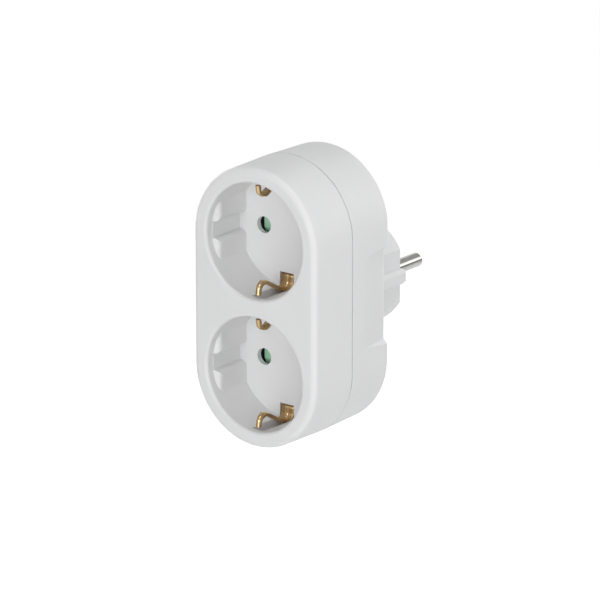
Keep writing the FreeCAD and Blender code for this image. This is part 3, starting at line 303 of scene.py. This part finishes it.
# Other metals: rolled brass contacts, nickel-plated pins, zinc-plated screws and drawn wire
contactBrass = {
    "name": "contactBrass",
    "pale": (0.66, 0.48, 0.25),
    "deep": (0.5, 0.35, 0.17),
    "deepFrom": 0.32,
    "paleFrom": 0.62,
    "cloudScale": 260.0,
    "cloudDetail": 4.0,
    "lineScale": (9000.0, 500.0, 500.0),
    "lineDepth": 0.00001,
    "lineStrength": 0.4,
    "roughLow": 0.2,
    "roughHigh": 0.38,
}
platedPin = {
    "name": "platedPin",
    "pale": (0.66, 0.655, 0.62),
    "deep": (0.58, 0.575, 0.54),
    "deepFrom": 0.32,
    "paleFrom": 0.62,
    "cloudScale": 300.0,
    "cloudDetail": 4.0,
    "lineScale": (400.0, 9000.0, 400.0),
    "lineDepth": 0.000008,
    "lineStrength": 0.35,
    "roughLow": 0.1,
    "roughHigh": 0.16,
}
springSteel = dict(platedPin, name="springSteel", pale=(0.5, 0.5, 0.5), deep=(0.4, 0.4, 0.4))
zincPlate = dict(platedPin, name="zincPlate", pale=(0.56, 0.57, 0.59), deep=(0.46, 0.47, 0.48),
                 roughLow=0.2, roughHigh=0.3)


def finishMetal(look, names):
    material, board = newMaterial(look["name"])
    cloud = board.noise(look["cloudScale"], look["cloudDetail"])
    lines = board.noise(1.0, vector=board.stretched(look["lineScale"]))
    surface(board, {
        "Base Color": board.clouded(cloud, look),
        "Metallic": 1.0,
        "Roughness": board.span(cloud, look["roughLow"], look["roughHigh"]),
        "Normal": board.bump(lines, look["lineStrength"], look["lineDepth"]),
    })
    dressNodes(material, names)
    print(look["name"], "finished")


def finishMetals():
    sockets = ("upper", "lower")
    sides = ("left", "right")
    finishMetal(contactBrass, [f"contact_{socket}_{side}" for socket in sockets for side in sides]
                + ["supply_bar_" + side for side in sides] + ["plug_earth_sleeve", "earth_rivets"])
    finishMetal(platedPin, ["plug_pin_" + side for side in sides])
    finishMetal(springSteel, ["shutter_spring_" + name for name in sockets])
    finishMetal(zincPlate, ["casing_screws"])


# Studio: a pale floor below the hanging adapter, a plain world and soft lamps
studio = {
    "floorDrop": 0.6,  # below the frame's origin
    "floorSize": 12.0,
    "floorBounce": 0.8,
    "floorShade": 0.35,  # share of the floor's white that a shadow can take away
    "floorGlow": 0.92,
    "floorShine": 0.4,  # share of that white which metal mirrors
    "worldLevel": 0.3,
    "wallTop": 0.15,  # sine of the elevation up to which the room is white
    "ceiling": 0.75,  # sine of the elevation from which it has the ceiling's level
    "ceilingLevel": 0.4,
    # what metal mirrors, from straight below (0) to straight above (1)
    "mirrorStops": [
        (0.45, 0.15), (0.54, 0.15),  # a dark skirting
        (0.56, 1.0), (0.66, 1.0),  # a white wall
        (0.72, 0.45), (0.86, 0.4), (1.0, 0.5),  # a grey ceiling
    ],
}
lampDistance = 1.8
lamps = (
    # name, azimuth, elevation, width, power
    ("frontLamp", 6.0, 6.0, 1.2, 9.7),
    ("cameraLamp", 42.0, 8.0, 1.2, 7.9),
    ("sideLamp", 100.0, -4.0, 1.2, 7.5),
    ("crossLamp", 30.0, 60.0, 1.2, 6.2),
    ("topLamp", 150.0, 70.0, 1.2, 10.3),
    ("backLamp", 145.0, 20.0, 0.8, 1.4),
    ("leftLamp", -105.0, 5.0, 1.2, 9.0),
    ("rearLamp", 190.0, 0.0, 1.2, 8.5),
)


def rays(board, kind):
    return board.node("ShaderNodeLightPath", {}, {}, f"Is {kind} Ray")


def mirrored(board):
    glossy = rays(board, "Glossy")
    return glossy.maths("MAXIMUM", glossy, rays(board, "Transmission"))


def makeFloor():
    bpy.ops.object.select_all(action="DESELECT")
    place = (0, 0, -studio["floorDrop"])
    bpy.ops.mesh.primitive_plane_add(size=studio["floorSize"], location=place)
    floor = bpy.context.object
    floor.name = "floor"
    material, board = newMaterial("paleFloor")
    bounce, shade = [
        board.node("ShaderNodeBsdfDiffuse", {}, {"Color": (studio[level],) * 3 + (1.0,)})
        for level in ("floorBounce", "floorShade")]
    glow = board.node("ShaderNodeEmission", {}, {"Strength": studio["floorGlow"]})
    white = board.node("ShaderNodeAddShader", {}, {0: shade, 1: glow})
    seen = rays(board, "Camera")
    share = seen.maths("MAXIMUM", seen, mirrored(board) * studio["floorShine"])
    lit = board.node("ShaderNodeMixShader", {}, {0: share, 1: bounce, 2: white})
    behind = board.node("ShaderNodeNewGeometry", {}, {}, "Backfacing")
    clear = board.node("ShaderNodeBsdfTransparent", {}, {})
    board.node("ShaderNodeOutputMaterial", {}, {
        "Surface": board.node("ShaderNodeMixShader", {}, {0: behind, 1: lit, 2: clear})})
    floor.data.materials.append(material)


def makeWorld():
    world = bpy.data.worlds.new("studioWorld")
    world.use_nodes = True
    bpy.context.scene.world = world
    board = Board(world.node_tree)
    towards = board.node("ShaderNodeTexCoord", {}, {}, "Generated")
    height = board.node("ShaderNodeSeparateXYZ", {}, {"Vector": towards}, "Z")
    room = board.span(height, 1.0, studio["ceilingLevel"], studio["wallTop"], studio["ceiling"])
    stops = [(place, (grey,) * 3) for place, grey in studio["mirrorStops"]]
    bands = board.ramp(board.span(height, 0.0, 1.0, -1.0, 1.0), stops)
    glossy = mirrored(board)
    seen = rays(board, "Camera")
    level = seen + (1.0 - seen) * (room * studio["worldLevel"] * (1.0 - glossy) + bands * glossy)
    sky = board.node("ShaderNodeBackground", {}, {"Color": (1.0, 1.0, 1.0, 1.0), "Strength": level})
    board.node("ShaderNodeOutputWorld", {}, {"Surface": sky})


def makeLamps():
    aim = Vector((0, cameraPlace["aimDepth"], 0))
    for name, azimuth, elevation, width, power in lamps:
        away = direction(azimuth, elevation)
        bpy.ops.object.light_add(type="AREA", location=aim + away * lampDistance)
        lamp = bpy.context.object
        lamp.name = name
        lamp.rotation_mode = "QUATERNION"
        lamp.rotation_quaternion = (-away).to_track_quat("-Z", "Y")
        lamp.data.shape = "DISK"
        lamp.data.size = width
        lamp.data.energy = power
    print("studio ready")


makeCamera()
finishCasing()
finishCarrier()
finishShutters()
finishEarthStrips()
finishMetals()
makeFloor()
makeWorld()
makeLamps()
bpy.context.scene.view_settings.view_transform = "Standard"
